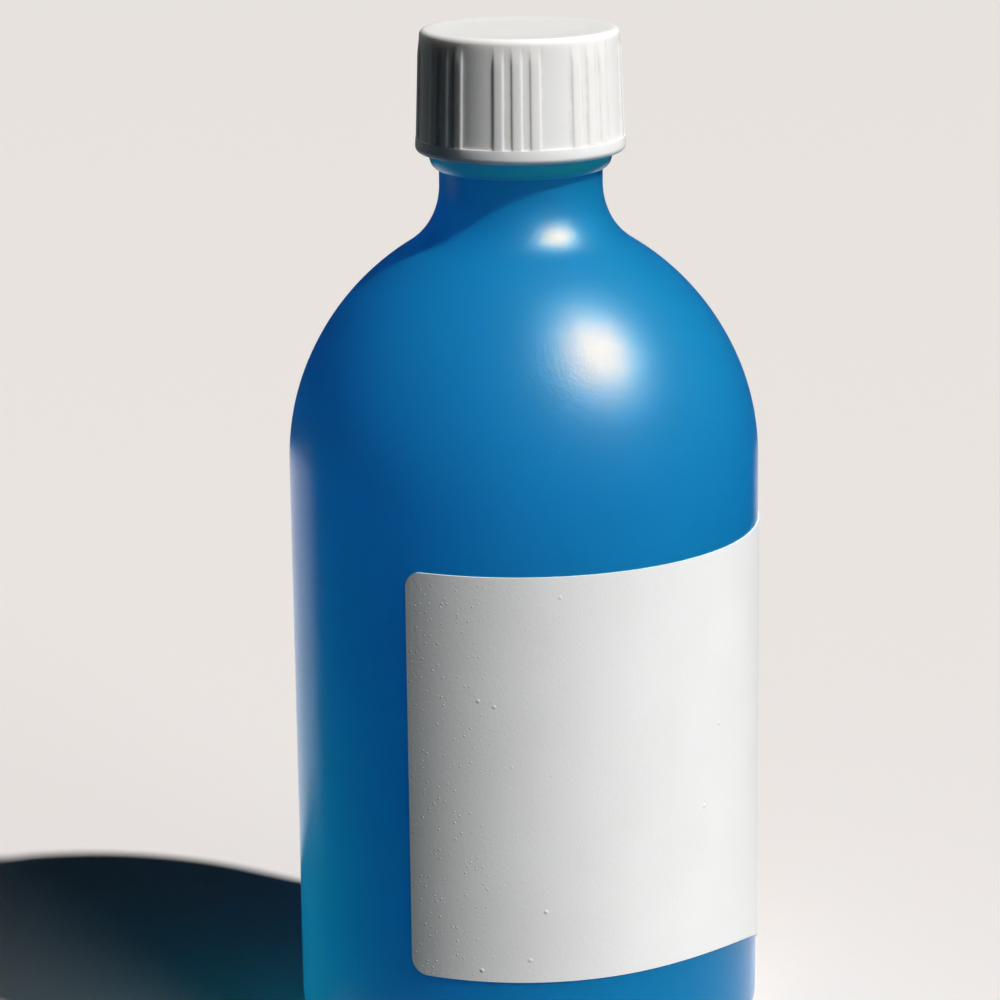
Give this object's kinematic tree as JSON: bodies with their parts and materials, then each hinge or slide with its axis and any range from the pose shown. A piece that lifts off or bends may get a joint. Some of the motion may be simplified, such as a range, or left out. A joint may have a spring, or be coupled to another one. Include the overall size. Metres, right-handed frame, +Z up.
{
  "type": "mouthwash bottle",
  "caption": "Round blue plastic mouthwash bottle with a domed shoulder, short neck, ribbed white screw cap that unscrews, sealing wad and blank front label.",
  "frame": {"origin": "middle of the ring that the bottle stands on, on the bottle's axis", "axes": "+Z up along the bottle's axis towards the cap, -Y towards the front, where the label is seen"},
  "size_m": [0.0712, 0.0712, 0.1585],
  "materials": {
    "bottle_plastic": "satin blue blow-moulded polyethylene, finely speckled",
    "label_paper": "matt white self-adhesive label, blank",
    "cap_plastic": "white moulded polypropylene, slightly glossy",
    "wad_foam": "off-white pressed foam"
  },
  "bodies": {
    "bottle": {"bottle": "bottle_plastic", "label": "label_paper"},
    "liner": {"cap_liner": "wad_foam"},
    "cap": {"cap": "cap_plastic"}
  },
  "joints": [
    {"name": "cap_lift", "type": "slide", "parent": "bottle", "child": "liner", "axis": [0, 0, 1], "range_m": [0, 0.02117]},
    {"name": "cap_turn", "type": "hinge", "parent": "liner", "child": "cap", "pos_m": [0, 0, 0.15], "axis": [0, 0, 1], "range_deg": [0, 1800]}
  ],
  "couplings": [
    {"joint": "cap_lift", "follows": "cap_turn", "m_per_rad": 0.0006737}
  ]
}
